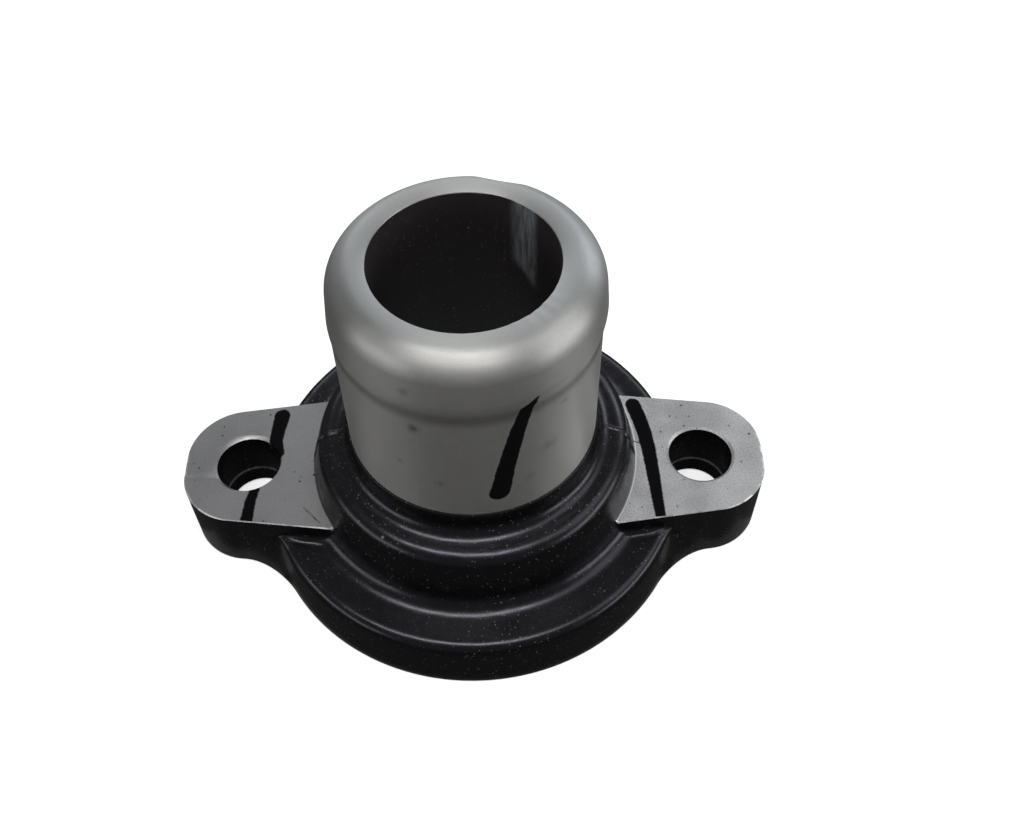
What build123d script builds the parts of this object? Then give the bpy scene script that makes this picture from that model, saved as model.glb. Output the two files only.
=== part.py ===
"""Thermostat housing: a cast aluminium outlet neck on a flange with two bolt lugs.

The origin is on the neck axis, in the plane of the mounting face, with +Z up the neck.
The lugs point along X, and their line of bolt holes lies a little towards -Y.
"""

import os
from math import radians, tan

from build123d import *

# Bolt lugs
HOLE_PITCH = 61.0
HOLE_DIAMETER = 8.5
HOLE_CHAMFER = 0.3
LUG_HEIGHT = 10.0
LUG_END = 8.4
LUG_TIP_WIDTH = 16.2
LUG_ROOT_WIDTH = 26.0
LUG_CORNER_RADIUS = 6.5
LUG_FORWARD = 1.4
LUG_TO_DISC_RADIUS = 6.0

# Flange disc, with its ledge round the foot of the collar
DISC_LEDGE_WIDTH = 6.3
DISC_THICKNESS = 7.3
DISC_DRAFT = 7.8
DISC_EDGE_RADIUS = 0.9

# Collar on the disc, with a flat ring round the foot of the neck
RING_WIDTH = 3.1
COLLAR_RISE = 8.0
COLLAR_DRAFT = 17.4
COLLAR_EDGE_RADIUS = 1.0
COLLAR_FOOT_RADIUS = 2.0

# Neck and its hose bead
OVERALL_HEIGHT = 46.0
TUBE_DIAMETER = 32.0
NECK_BASE_FLARE = 0.9
NECK_BASE_RISE = 3.7
BEAD_SWELL = 0.45
BEAD_LENGTH = 8.1
BEAD_FLANK_LENGTH = 2.3
LIP_WIDTH = 2.4

# Water way, from the lip down to the mounting face
BORE_DIAMETER = 21.9
FUNNEL_HEIGHT = 6.5
CHAMBER_DIAMETER = 34.0
CHAMBER_DEPTH = 9.5
SEAT_DIAMETER = 46.0
SEAT_DEPTH = 3.0

# Two heights or radii nearer than this are the same
SAME = 0.01

# Heights that follow
collar_top = DISC_THICKNESS + COLLAR_RISE
tube_foot = collar_top + NECK_BASE_RISE
bead_foot = OVERALL_HEIGHT - BEAD_LENGTH
bead_crown = bead_foot + BEAD_FLANK_LENGTH
bore_foot = CHAMBER_DEPTH + FUNNEL_HEIGHT

# Radii that follow, from the neck outwards and then down the water way
tube_radius = TUBE_DIAMETER / 2
neck_base_radius = tube_radius + NECK_BASE_FLARE
collar_top_radius = neck_base_radius + RING_WIDTH
collar_radius = collar_top_radius + COLLAR_RISE * tan(radians(COLLAR_DRAFT))
disc_radius = collar_radius + DISC_LEDGE_WIDTH
disc_top_radius = disc_radius - DISC_THICKNESS * tan(radians(DISC_DRAFT))
bead_radius = tube_radius + BEAD_SWELL
bore_radius = BORE_DIAMETER / 2
lip_radius = bore_radius + LIP_WIDTH
chamber_radius = CHAMBER_DIAMETER / 2
seat_radius = SEAT_DIAMETER / 2
hole_radius = HOLE_DIAMETER / 2

# Plan sizes that follow
lug_tip = HOLE_PITCH / 2 + LUG_END
lug_plane = Plane((0, -LUG_FORWARD, 0))


def rings(height, radius):
    """Round edges of the housing that lie level at this height and have this radius."""
    round_edges = housing.edges().filter_by(GeomType.CIRCLE)
    level = round_edges.filter_by(lambda edge: abs(edge.arc_center.Z - height) < SAME)
    return level.filter_by(lambda edge: abs(edge.radius - radius) < SAME)


with BuildPart() as housing:
    # Flange disc with its drafted rim
    with BuildSketch(Plane.XZ):
        with BuildLine():
            Polyline(
                (0, 0),
                (disc_radius, 0),
                (disc_top_radius, DISC_THICKNESS),
                (0, DISC_THICKNESS),
                close=True,
            )
        make_face()
    revolve(axis=Axis.Z)

    # Lugs up to the top of the disc, as one six-sided plate with round tip corners
    with BuildSketch(lug_plane) as lug_plan:
        with BuildLine():
            Polyline(
                (lug_tip, -LUG_TIP_WIDTH / 2),
                (lug_tip, LUG_TIP_WIDTH / 2),
                (0, LUG_ROOT_WIDTH / 2),
                (-lug_tip, LUG_TIP_WIDTH / 2),
                (-lug_tip, -LUG_TIP_WIDTH / 2),
                (0, -LUG_ROOT_WIDTH / 2),
                close=True,
            )
        make_face()
        fillet(
            lug_plan.vertices().filter_by(lambda corner: abs(corner.X) > lug_tip / 2),
            radius=LUG_CORNER_RADIUS,
        )
    extrude(amount=DISC_THICKNESS)

    # Lug sides swept into the rim, and the rim's edges rounded
    fillet(housing.edges().filter_by(GeomType.HYPERBOLA), radius=LUG_TO_DISC_RADIUS)
    rim_top = housing.faces().sort_by(Axis.Z)[-1].outer_wire().edges()
    fillet(rim_top, radius=DISC_EDGE_RADIUS)

    # Collar, neck and bead as one turned shape that starts at the mounting face
    with BuildSketch(Plane.XZ):
        with BuildLine():
            Polyline(
                (0, 0),
                (collar_radius, 0),
                (collar_radius, DISC_THICKNESS),
                (collar_top_radius, collar_top),
                (neck_base_radius, collar_top),
                (tube_radius, tube_foot),
                (tube_radius, bead_foot),
                (bead_radius, bead_crown),
            )
            TangentArc((bead_radius, bead_crown), (lip_radius, OVERALL_HEIGHT), tangent=(0, 1))
            Polyline((lip_radius, OVERALL_HEIGHT), (0, OVERALL_HEIGHT), (0, 0))
        make_face()
    revolve(axis=Axis.Z)
    fillet(rings(DISC_THICKNESS, collar_radius), radius=COLLAR_FOOT_RADIUS)
    fillet(rings(collar_top, collar_top_radius), radius=COLLAR_EDGE_RADIUS)

    # Raised bolt pads over the whole plan of the lugs
    extrude(lug_plan.sketch, amount=LUG_HEIGHT)

    # Water way: seat, chamber, funnel and bore
    with BuildSketch(Plane.XZ):
        with BuildLine():
            Polyline(
                (0, 0),
                (seat_radius, 0),
                (seat_radius, SEAT_DEPTH),
                (chamber_radius, SEAT_DEPTH),
                (chamber_radius, CHAMBER_DEPTH),
                (bore_radius, bore_foot),
                (bore_radius, OVERALL_HEIGHT),
                (0, OVERALL_HEIGHT),
                close=True,
            )
        make_face()
    revolve(axis=Axis.Z, mode=Mode.SUBTRACT)

    # Bolt holes with a light chamfer at the pads
    with Locations(lug_plane.offset(LUG_HEIGHT)):
        with GridLocations(HOLE_PITCH, 0, 2, 1):
            Hole(radius=hole_radius)
    chamfer(rings(LUG_HEIGHT, hole_radius), length=HOLE_CHAMFER)

housing.part.label = "housing"
os.makedirs("parts", exist_ok=True)
export_step(housing.part, "parts/housing.step")
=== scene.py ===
"""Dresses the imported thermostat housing: a cast outlet neck on a flange with two bolt lugs.

The housing is one closed surface on a grid of azimuths and section rows, with its bolt holes cut
through. Sizes are in millimetres, heights start at the mounting face, and Z is the neck axis.
"""

from __future__ import annotations

import logging
from abc import ABC, abstractmethod
from collections.abc import Callable
from dataclasses import dataclass, field
from enum import Enum
from functools import reduce
from math import radians, tan

import bpy
import numpy as np
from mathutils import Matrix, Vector

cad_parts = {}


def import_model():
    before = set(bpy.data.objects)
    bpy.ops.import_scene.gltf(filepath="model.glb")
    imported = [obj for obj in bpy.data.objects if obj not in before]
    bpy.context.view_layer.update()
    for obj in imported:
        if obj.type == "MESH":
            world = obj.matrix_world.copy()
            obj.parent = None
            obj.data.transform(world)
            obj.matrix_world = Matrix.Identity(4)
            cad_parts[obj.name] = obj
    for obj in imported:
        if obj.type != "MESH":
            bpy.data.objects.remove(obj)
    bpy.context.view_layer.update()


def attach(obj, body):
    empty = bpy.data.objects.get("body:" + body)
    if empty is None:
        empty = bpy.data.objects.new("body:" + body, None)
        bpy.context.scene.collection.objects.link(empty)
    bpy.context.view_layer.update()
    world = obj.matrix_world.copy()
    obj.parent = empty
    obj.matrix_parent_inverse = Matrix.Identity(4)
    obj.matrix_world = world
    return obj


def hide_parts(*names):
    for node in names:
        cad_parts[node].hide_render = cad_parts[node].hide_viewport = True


LOG = logging.getLogger("housing")
MM = 0.001
TURN_MAP = "turning"
TURN = 2 * np.pi
TINY = 1e-9

# Radii between which every outline lies, and how often that range is halved to find it
REACH = (4.0, 60.0)
HALVINGS = 36

Level = float | np.ndarray
Place = tuple[Level, Level]
Outline = Callable[[Level], Level]
Pair = tuple[float, float]
Spot = tuple[float, float, float]
Colour = tuple[float, float, float, float]
Names = tuple[str, ...]
Inputs = dict[str | int, object]
Node = bpy.types.Node
Socket = bpy.types.NodeSocket


class Finish(Enum):
    """The finishes of the housing, in the order of its material slots."""

    COATING = 0
    TURNED = 1
    PAD = 2
    FACE = 3
    EDGE = 4


Codes = Finish | np.ndarray


def smooth_step(value: np.ndarray, low: float, high: float) -> np.ndarray:
    """Rises from 0 at low to 1 at high along an S curve.

    Args:
        value: Where the curve is read.
        low: Start of the rise.
        high: End of the rise.

    Returns:
        The height of the curve: 3 t squared less 2 t cubed, with t the clipped share of the way.
    """
    share = np.clip((value - low) / (high - low), 0.0, 1.0)
    return share * share * (3.0 - 2.0 * share)


def soft_maximum(first: np.ndarray, second: np.ndarray, blend: float) -> np.ndarray:
    """Takes the larger of two values with a rounded change-over.

    Args:
        first: One value.
        second: The other value.
        blend: Width of the change-over.

    Returns:
        Half of the sum and the length of the difference and the blend, less a tenth of the blend.
    """
    return (first + second + np.hypot(first - second, blend) - 0.1 * blend) / 2


def round_meeting(first: np.ndarray, second: np.ndarray, radius: Level) -> np.ndarray:
    """Distance to where two shapes overlap, with a round outer corner.

    Args:
        first: Distance to one shape, negative inside.
        second: Distance to the other.
        radius: Round of the corner.

    Returns:
        The inner distance plus the length of what lies past the corner's centre lines.
    """
    inner = np.minimum(-radius, np.maximum(first, second))
    return inner + np.hypot(np.maximum(radius + first, 0), np.maximum(radius + second, 0))


def round_union(first: np.ndarray, second: np.ndarray, radius: Level) -> np.ndarray:
    """Distance to two shapes joined by a round inner corner.

    Args:
        first: Distance to one shape, negative inside.
        second: Distance to the other.
        radius: Round of the corner.

    Returns:
        The outer distance less the length of what lies short of the corner's centre lines.
    """
    outer = np.maximum(radius, np.minimum(first, second))
    return outer - np.hypot(np.maximum(radius - first, 0), np.maximum(radius - second, 0))


def reach(distance: Outline, columns: int) -> np.ndarray:
    """Finds how far an outline reaches along each azimuth by halving a range of radii.

    Args:
        distance: Distance to the outline for one radius at each azimuth, negative inside.
        columns: Number of azimuths.

    Returns:
        The radius of the outline at each azimuth.
    """
    low, high = (np.full(columns, end) for end in REACH)
    for _ in range(HALVINGS):
        middle = (low + high) / 2
        outside = distance(middle) > 0
        high = np.where(outside, middle, high)
        low = np.where(outside, low, middle)
    return (low + high) / 2


@dataclass
class Section:
    """Rows of a closed ring of surface: each row has a radius, a height and a finish per azimuth."""

    columns: int
    least_pull: float = 0.05
    radii: list[np.ndarray] = field(default_factory=list)
    heights: list[np.ndarray] = field(default_factory=list)
    finishes: list[np.ndarray] = field(default_factory=list)

    def add(self, radius: Level, height: Level, finish: Codes) -> None:
        """Adds one row.

        Args:
            radius: Distance from the neck axis.
            height: Height above the mounting face.
            finish: Finish of the faces between this row and the next.
        """
        wide = np.zeros(self.columns)
        self.radii.append(radius + wide)
        self.heights.append(height + wide)
        code = finish.value if isinstance(finish, Finish) else finish
        self.finishes.append((code + wide).astype(np.int32))

    def line(self, start: Place, end: Place, rows: int, finish: Codes) -> None:
        """Adds a straight run that stops one row short of its end.

        Args:
            start: Radius and height of the first row.
            end: Radius and height where the next run starts.
            rows: Number of rows.
            finish: Finish of the run.
        """
        for row in range(rows):
            radius, height = (first + (last - first) * row / rows for first, last in zip(start, end))
            self.add(radius, height, finish)

    def bend(self, start: Place, corner: Place, end: Place, rows: int, finish: Codes) -> None:
        """Adds a round corner that stops one row short of its end.

        The rows follow a quadratic curve from start to end, drawn to the corner. The corner counts
        by the cosine of half the turn, which makes the curve a true arc between equal sides. A
        corner that turns back on itself still counts a little.

        Args:
            start: Radius and height where the corner starts.
            corner: Where the two straight sides would meet.
            end: Where the corner ends.
            rows: Number of rows.
            finish: Finish of the corner.
        """
        ahead = (corner[0] - start[0], corner[1] - start[1])
        after = (end[0] - corner[0], end[1] - corner[1])
        lengths = np.hypot(*ahead) * np.hypot(*after) + TINY
        turn = (ahead[0] * after[0] + ahead[1] * after[1]) / lengths
        pull = np.sqrt(np.clip((1 + turn) / 2, self.least_pull, 1.0))
        axes = tuple(zip(start, corner, end))
        for row in range(rows):
            share = row / rows
            weights = ((1 - share) ** 2, 2 * share * (1 - share) * pull, share**2)
            radius, height = (sum(w * p for w, p in zip(weights, axis)) for axis in axes)
            self.add(radius / sum(weights), height / sum(weights), finish)

    def wall(self, outline: Outline, top: Level, foot: Level, rows: int, finish: Finish) -> None:
        """Adds a wall that follows an outline down and stops one row short of its foot.

        Args:
            outline: Radius of the wall at a height.
            top: Height of the first row.
            foot: Height where the next run starts.
            rows: Number of rows.
            finish: Finish of the wall.
        """
        for row in range(rows):
            height = top + (foot - top) * row / rows
            self.add(outline(height), height, finish)


@dataclass(frozen=True)
class Corner:
    """A corner of the turned section, with its round and what leads up to it."""

    radius: float
    height: float
    round: float
    finish: Finish
    run_rows: int
    bend_rows: int


@dataclass(frozen=True)
class LugPlan:
    """Outline of the two bolt lugs, seen from above."""

    tip: float = 38.9
    root_half_width: float = 13.0
    tip_half_width: float = 8.1
    corner_radius: float = 6.5
    forward: float = 1.4
    hole_pitch: float = 61.0
    hole_radius: float = 4.25

    def distance(self, across: np.ndarray, along: np.ndarray) -> np.ndarray:
        """Distance to the outline of both lugs, negative inside.

        Args:
            across: Places along X.
            along: Places along Y.

        Returns:
            The round meeting of the tapered sides and the square tips.
        """
        taper = (self.root_half_width - self.tip_half_width) / self.tip
        side = np.abs(along + self.forward) - (self.root_half_width - taper * np.abs(across))
        square = side / np.hypot(1.0, taper)
        return round_meeting(square, np.abs(across) - self.tip, self.corner_radius)


@dataclass(frozen=True)
class Dent:
    """A dent: its depth, its middle, its half sizes, where it fades out and what it lies beyond."""

    depth: float
    middle: Spot
    half: Spot
    fade: Pair
    beyond: Spot

    def lift(self, spots: np.ndarray) -> np.ndarray:
        """Minus the depth, faded with the distance from the middle, counted in half sizes."""
        away = np.linalg.norm((spots - self.middle) / self.half, axis=-1)
        return -self.depth * (1 - smooth_step(away, *self.fade)) * np.all(spots > self.beyond, axis=-1)


@dataclass(frozen=True)
class Wear:
    """What casting, parting and handling leave on the shape, each as a lift along the normal."""

    skin_depth: float = 0.007
    swell: tuple[Place, Place] = ((0.71, 1.3), (0.83, 0.4))
    waves: tuple[tuple[float, Spot, float], ...] = (
        (0.6, (1.9, 1.1, 0.9), 0.0),
        (0.4, (-1.6, 2.7, 1.7), 2.0),
    )

    # The parting line: on each side a start along X and Y and a slope
    seam_height: float = 0.16
    seam_lines: tuple[Spot, Spot] = ((-16.4, -0.1, 0.16), (16.7, -0.2, -0.3))
    seam_fade: Pair = (0.08, 0.34)
    seam_heights: Pair = (10.4, 15.6)
    seam_inner: float = 17.2

    # The dent behind the lip and the notch in the left lug's tip
    dents: tuple[Dent, ...] = (
        Dent(0.5, (4.0, 0.0, 44.8), (3.6, np.inf, 1.6), (0.0, 1.0), (-np.inf, 8.0, 0.0)),
        Dent(0.22, (-38.3, -2.8, 0.0), (1.0, 1.2, np.inf), (0.1, 0.75), (-np.inf, -np.inf, 8.4)),
    )

    # The ragged edge of the bore
    ragged_depth: float = 0.05
    ragged_waves: tuple[int, int] = (31, 17)
    ragged_place: Pair = (7.5, -8.0)
    ragged_half: Pair = (3.5, 3.0)
    ragged_height: float = 46.0
    ragged_fade: Pair = (0.1, 0.4)
    ragged_outer: float = 11.2

    def skin(self, spots: np.ndarray) -> np.ndarray:
        """The cast skin's waves.

        Args:
            spots: The clean vertices.

        Returns:
            The product of a sine along X and one along Y, plus two sines across the space.
        """
        paces, phases = np.transpose(self.swell)
        lift = np.prod(np.sin(spots[..., :2] * paces + phases), axis=-1)
        for share, paces, phase in self.waves:
            lift = lift + share * np.sin(spots @ np.array(paces) + phase)
        return self.skin_depth * lift

    def seam(self, spots: np.ndarray) -> np.ndarray:
        """The parting line: a low ridge that fades with the distance from a sloping line.

        Args:
            spots: The clean vertices.

        Returns:
            The lift, on the collar and the ring.
        """
        across, along, height = np.moveaxis(spots, -1, 0)
        left, right = (place + (across - start) * slope for start, place, slope in self.seam_lines)
        near = 1 - smooth_step(np.abs(along - np.where(across < 0, left, right)), *self.seam_fade)
        zone = (height > self.seam_heights[0]) & (height < self.seam_heights[1])
        return self.seam_height * near * zone * (np.hypot(across, along) > self.seam_inner)

    def ragged(self, spots: np.ndarray) -> np.ndarray:
        """The bore's ragged edge: two sines of the azimuth times a bell curve round its place.

        Args:
            spots: The clean vertices.

        Returns:
            The lift, on the edge of the bore alone.
        """
        across, along, height = np.moveaxis(spots, -1, 0)
        turn = np.arctan2(along, across)
        wave = np.sin(turn * self.ragged_waves[0]) * np.sin(turn * self.ragged_waves[1] + 1)
        away = (spots[..., :2] - self.ragged_place) / self.ragged_half
        edge = 1 - smooth_step(np.abs(height - self.ragged_height), *self.ragged_fade)
        bell = np.exp(-np.sum(away**2, axis=-1)) * (np.hypot(across, along) < self.ragged_outer)
        return -self.ragged_depth * wave * edge * bell


@dataclass
class Casting:
    """The cast housing with its turned neck, milled lug pads and machined mounting face."""

    columns: int = 744
    azimuth_steps: int = 7201
    lug_sector: Pair = (34.0, 46.0)
    lug_density: float = 2.6
    lugs: LugPlan = field(default_factory=LugPlan)
    wear: Wear = field(default_factory=Wear)

    pad_height: float = 10.0
    pad_fade: float = 0.7
    pad_spread: float = 0.35
    pad_edge: float = 0.26
    pad_edge_slope: float = 0.45
    pad_edge_drop: float = 0.05
    pad_foot_round: float = 1.6
    pad_foot_reach: Pair = (21.0, 24.0)

    disc_radius: float = 28.75
    disc_forward: float = 0.28
    disc_height: float = 7.3
    disc_draft: float = 6.5
    disc_edge_round: float = 1.3
    sweep_top: float = 0.7
    sweep_foot: float = 4.6
    base_round: float = 0.35

    collar_top_radius: float = 20.2
    collar_top: float = 15.3
    collar_draft: float = 16.1
    collar_blend: float = 0.25
    collar_least: float = 15.0
    collar_foot: Pair = (1.9, 1.8)

    # The ledge of the disc where it narrows to nothing beside the lugs
    ledge_spare: float = 0.9
    ledge_drop: float = 0.5
    ledge_tilt: float = 0.16

    overall_height: float = 46.15
    tube_radius: float = 16.0
    tube_foot: float = 19.0
    bore_radius: float = 10.95
    seat_radius: float = 23.0
    seat_depth: float = 3.0
    seat_round: float = 0.3

    # Where the cast skin ends, and the bead's shift towards +X
    skin_margin: float = 0.3
    skin_beside_pad: float = 21.5
    skin_foot: float = 0.5
    skin_inner: float = 16.3
    bead_shift: float = 0.16
    shift_heights: Pair = (38.2, 40.5)
    shift_radii: Pair = (11.5, 14.0)

    def turned_corners(self) -> tuple[Corner, ...]:
        """Lists the corners of the round section.

        Returns:
            The corners up the water way, over the lip and down to the ring.
        """
        black, bright = Finish.COATING, Finish.TURNED
        top = self.overall_height
        return (
            Corner(self.seat_radius, self.seat_depth, 0.25, Finish.FACE, 2, 2),
            Corner(17.0, self.seat_depth, 0.35, Finish.FACE, 2, 2),
            Corner(17.0, 9.5, 1.0, black, 1, 3),
            Corner(self.bore_radius, 16.0, 2.0, black, 1, 3),
            Corner(self.bore_radius, top, 0.15, black, 6, 2),
            Corner(13.5, top, 2.6, bright, 1, 6),
            Corner(15.85, 44.6, 3.4, bright, 1, 8),
            Corner(16.28, 39.6, 8.0, bright, 1, 5),
            Corner(self.tube_radius, 37.7, 2.5, bright, 1, 4),
            Corner(self.tube_radius, self.tube_foot, 0.0, bright, 6, 0),
            Corner(16.22, 18.86, 0.08, black, 1, 2),
            Corner(16.45, self.collar_top, 2.0, black, 2, 7),
            Corner(self.collar_top_radius, self.collar_top, 2.1, black, 3, 8),
        )

    def azimuths(self) -> np.ndarray:
        """Azimuths of the columns, close together over the lugs and wider apart elsewhere.

        Returns:
            Azimuths from minus a quarter turn, spread so that each holds the same share of a
            weight, which is 1 away from the lugs and 3.6 over them.
        """
        fine = np.linspace(-TURN / 4, 3 * TURN / 4, self.azimuth_steps)
        off_lug = np.abs(np.mod(fine + TURN / 4, TURN / 2) - TURN / 4)
        weight = 1.0 + self.lug_density * (1 - smooth_step(off_lug, *np.radians(self.lug_sector)))
        share = np.concatenate([[0.0], np.cumsum((weight[1:] + weight[:-1]) / 2)])
        return np.interp(np.arange(self.columns) / self.columns * share[-1], share, fine)

    def collar(self, height: Level) -> Level:
        """Radius of the collar's sloped wall at a height."""
        return self.collar_top_radius + (self.collar_top - height) * tan(radians(self.collar_draft))

    def section(self, turn: np.ndarray) -> Section:
        """Works out every row of the surface.

        Each azimuth has the same rows. The rows of the turned parts are plain circles. Below the
        ring, the wall is the larger of the collar's cone and the lugs' outline, and the rim is the
        drafted disc joined to the lugs with a sweep that widens towards the mounting face. Where
        a ledge narrows to nothing, its rows spread over a small height, so no faces collapse.

        Args:
            turn: Azimuths of the columns.

        Returns:
            The rows, which close on themselves.
        """
        rows = Section(len(turn))
        corners = self.turned_corners()
        pad_foot = Corner(self.collar(self.pad_height), self.pad_height, 0.0, Finish.COATING, 0, 0)
        start: Place = (self.seat_radius, self.seat_round)
        here = (self.seat_radius, 0.0)
        for corner, after in zip(corners, (*corners[1:], pad_foot)):
            spot = (corner.radius, corner.height)
            into, out = self.tangent_points(here, spot, (after.radius, after.height), corner.round)
            rows.line(start, into, corner.run_rows, corner.finish)
            rows.bend(into, spot, out, corner.bend_rows, after.finish)
            start, here = out, spot
        self.flange_rows(rows, turn, start)
        return rows

    @staticmethod
    def tangent_points(
        before: Place, corner: Place, after: Place, radius: float
    ) -> tuple[Place, Place]:
        """Finds where a round of a given radius leaves the two sides of a corner.

        Args:
            before: The corner before.
            corner: The corner to round.
            after: The corner after.
            radius: Radius of the round.

        Returns:
            The points on the two sides, at the radius times the tangent of half the turn.
        """
        spot = np.array(corner, float)
        back = np.array(before, float) - spot
        ahead = np.array(after, float) - spot
        back /= np.linalg.norm(back)
        ahead /= np.linalg.norm(ahead)
        half_turn = (np.pi - np.arccos(np.clip(back @ ahead, -1, 1))) / 2
        length = radius * tan(half_turn)
        return tuple(spot + back * length), tuple(spot + ahead * length)

    def flange_rows(self, rows: Section, turn: np.ndarray, start: Place) -> None:
        """Adds the rows from the collar's wall over the lugs and the disc, and under to the seat.

        Args:
            rows: The section so far.
            turn: Azimuths of the columns.
            start: Where the collar's wall starts, below its top edge.
        """
        east, north = np.cos(turn), np.sin(turn)
        lug = reach(lambda r: self.lugs.distance(r * east, r * north), len(turn))
        top = self.pad_height
        width = lug - self.collar(top)
        on_pad = smooth_step(width, 0.0, self.pad_fade)
        pad_or_wall = np.where(on_pad > 0.5, Finish.PAD.value, Finish.COATING.value)
        edge_or_wall = np.where(on_pad > 0.5, Finish.EDGE.value, Finish.COATING.value)
        spread = self.pad_spread * (1 - on_pad)
        inner = (self.collar(top + spread), top + spread)
        cut = self.pad_edge * on_pad
        outer = (self.collar(top - spread) + np.maximum(width, 0.0) - cut, top - spread)
        edge = (outer[0] + cut, outer[1] - np.maximum(self.pad_edge_slope * cut, self.pad_edge_drop))
        rows.line(start, inner, 4, Finish.COATING)
        rows.line(inner, outer, 8, pad_or_wall)
        rows.line(outer, edge, 1, edge_or_wall)

        def wall(height: Level) -> np.ndarray:
            """Radius of the larger of the collar and the lugs."""
            least = np.maximum(lug, self.collar_least)
            return soft_maximum(self.collar(height), least, self.collar_blend)

        def rim(height: Level) -> np.ndarray:
            """Radius of the rim."""
            return self.rim(height, east, north)

        ledge = self.disc_height
        inside, brim = wall(ledge), rim(ledge)
        slack = brim - inside
        pad_share = smooth_step(lug, *self.pad_foot_reach)
        foot = np.array(self.collar_foot)[:, None]
        foot_out, foot_up = foot + (self.pad_foot_round - foot) * pad_share
        full = smooth_step(slack, 0.0, self.pad_foot_round + self.disc_edge_round + self.ledge_spare)
        fitted = np.minimum(full, np.maximum(slack, 0.0) / (foot_out + self.disc_edge_round))
        rise = foot_up * full + self.ledge_drop * (1 - full)
        drop = self.disc_edge_round * full + self.ledge_drop * (1 - full)
        tilt = self.ledge_tilt * (1 - full)
        shelf_in = (inside + foot_out * fitted, ledge + tilt)
        shelf_out = (brim - self.disc_edge_round * fitted, ledge - tilt)
        rows.wall(wall, edge[1], ledge + rise, 4, Finish.COATING)
        top_of_foot = (wall(ledge + rise), ledge + rise)
        rows.bend(top_of_foot, (inside, ledge + tilt), shelf_in, 6, Finish.COATING)
        rows.line(shelf_in, shelf_out, 3, Finish.COATING)
        rows.bend(shelf_out, (brim, ledge - tilt), (rim(ledge - drop), ledge - drop), 6, Finish.COATING)

        base = rim(0.0)
        rows.wall(rim, ledge - drop, self.base_round, 6, Finish.COATING)
        low = (base - self.base_round, 0.0)
        rows.bend((rim(self.base_round), self.base_round), (base, 0.0), low, 4, Finish.COATING)
        seat, seat_edge = self.seat_radius, (self.seat_radius + self.seat_round, 0.0)
        rows.line(low, seat_edge, 4, Finish.FACE)
        rows.bend(seat_edge, (seat, 0.0), (seat, self.seat_round), 2, Finish.FACE)

    def rim(self, height: Level, east: np.ndarray, north: np.ndarray) -> np.ndarray:
        """Radius of the rim of disc and lugs at a height.

        Args:
            height: Height above the mounting face.
            east: Cosines of the azimuths.
            north: Sines of the azimuths.

        Returns:
            The reach of the drafted disc and the lugs, joined by a sweep that grows downwards.
        """
        disc = self.disc_radius - height * tan(radians(self.disc_draft))
        down = np.clip(1 - height / self.disc_height, 0, 1)
        sweep = self.sweep_top + (self.sweep_foot - self.sweep_top) * down

        def distance(radius: np.ndarray) -> np.ndarray:
            """Distance to the disc and the lugs, joined by the sweep.

            Args:
                radius: One radius at each azimuth.

            Returns:
                The distances, negative inside.
            """
            across, along = radius * east, radius * north
            to_disc = np.hypot(across, along + self.disc_forward) - disc
            return round_union(to_disc, self.lugs.distance(across, along), sweep)

        return reach(distance, len(east))

    def points(self) -> tuple[np.ndarray, np.ndarray]:
        """Places every vertex and gives every face its finish.

        Returns:
            Vertices as rows by columns by three, and finish codes as rows by columns.
        """
        turn = self.azimuths()
        rows = self.section(turn)
        radius, height = np.stack(rows.radii), np.stack(rows.heights)
        spots = np.stack([radius * np.cos(turn), radius * np.sin(turn), height], axis=-1)
        return self.weather(spots), np.stack(rows.finishes)

    def weather(self, spots: np.ndarray) -> np.ndarray:
        """Adds the marks of wear to the clean shape, and moves the bead a little towards +X.

        Args:
            spots: The clean vertices.

        Returns:
            The vertices, moved along their normals. The skin's waves leave out the pads, the
            turned neck and the machined face.
        """
        radius, height = np.hypot(spots[..., 0], spots[..., 1]), spots[..., 2]
        margin = self.skin_margin
        on_pad = (np.abs(height - self.pad_height) < margin) & (radius > self.skin_beside_pad)
        in_height = (height > self.skin_foot) & (height < self.tube_foot - margin)
        on_skin = in_height & (radius > self.skin_inner) & ~on_pad
        wear = self.wear
        lift = wear.skin(spots) * on_skin + wear.seam(spots) + wear.ragged(spots)
        lift = lift + sum(dent.lift(spots) for dent in wear.dents)
        steps = (np.roll(spots, -1, axis=axis) - np.roll(spots, 1, axis=axis) for axis in (0, 1))
        normal = np.cross(*steps)
        normal /= np.maximum(np.linalg.norm(normal, axis=-1, keepdims=True), TINY)
        moved = spots + normal * lift[..., None]
        on_bead = smooth_step(height, *self.shift_heights) * smooth_step(radius, *self.shift_radii)
        moved[..., 0] += self.bead_shift * on_bead
        return moved


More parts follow.
